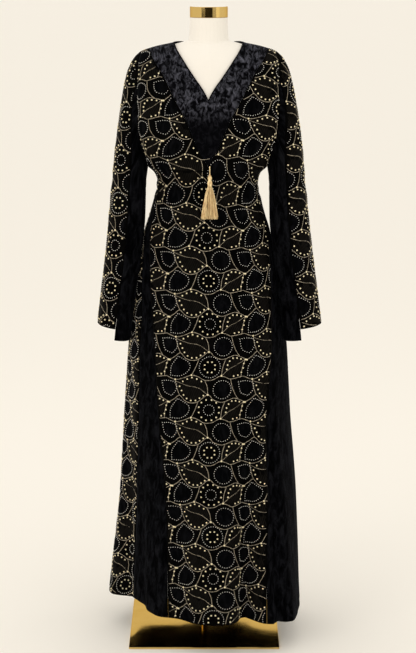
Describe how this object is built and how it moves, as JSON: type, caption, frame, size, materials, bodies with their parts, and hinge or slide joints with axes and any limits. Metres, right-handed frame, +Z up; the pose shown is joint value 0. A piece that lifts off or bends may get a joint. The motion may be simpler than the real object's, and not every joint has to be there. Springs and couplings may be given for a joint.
{
  "type": "jalabiya on a dress form",
  "caption": "Long-sleeved black jalabiya with embroidered panels, velvet side gores, a crushed velvet V yoke and a gold tassel, on a limbless dress form with a gold pole and base plate.",
  "frame": {"origin": "centre of the base plate's underside, on the floor", "axes": "+Z up the pole, -Y the front of the dress, +X to the viewer's right"},
  "size_m": [0.5751, 0.4776, 1.6336],
  "materials": {
    "embroidered_cloth": "sheer black ground with gold and silver-grey chain stitch, beads and studs",
    "velvet": "plain black velvet",
    "crushed_velvet": "crushed black velvet with a blue-grey sheen",
    "gold_thread": "silky gold thread",
    "cream_cloth": "smooth cream jersey",
    "polished_gold": "mirror polish"
  },
  "bodies": {
    "root": {"front_panel": "embroidered_cloth", "back_panel": "embroidered_cloth", "side_gore_left": "velvet", "side_gore_right": "velvet", "front_yoke": "crushed_velvet", "back_neck_band": "crushed_velvet", "sleeve_upper_left": "embroidered_cloth", "sleeve_upper_right": "embroidered_cloth", "sleeve_under_left": "velvet", "sleeve_under_right": "velvet", "tassel": "gold_thread", "form_torso": "cream_cloth", "neck_cap_top": "cream_cloth", "neck_cap_band": "polished_gold", "pole": "polished_gold", "base_plate": "polished_gold"}
  },
  "joints": []
}
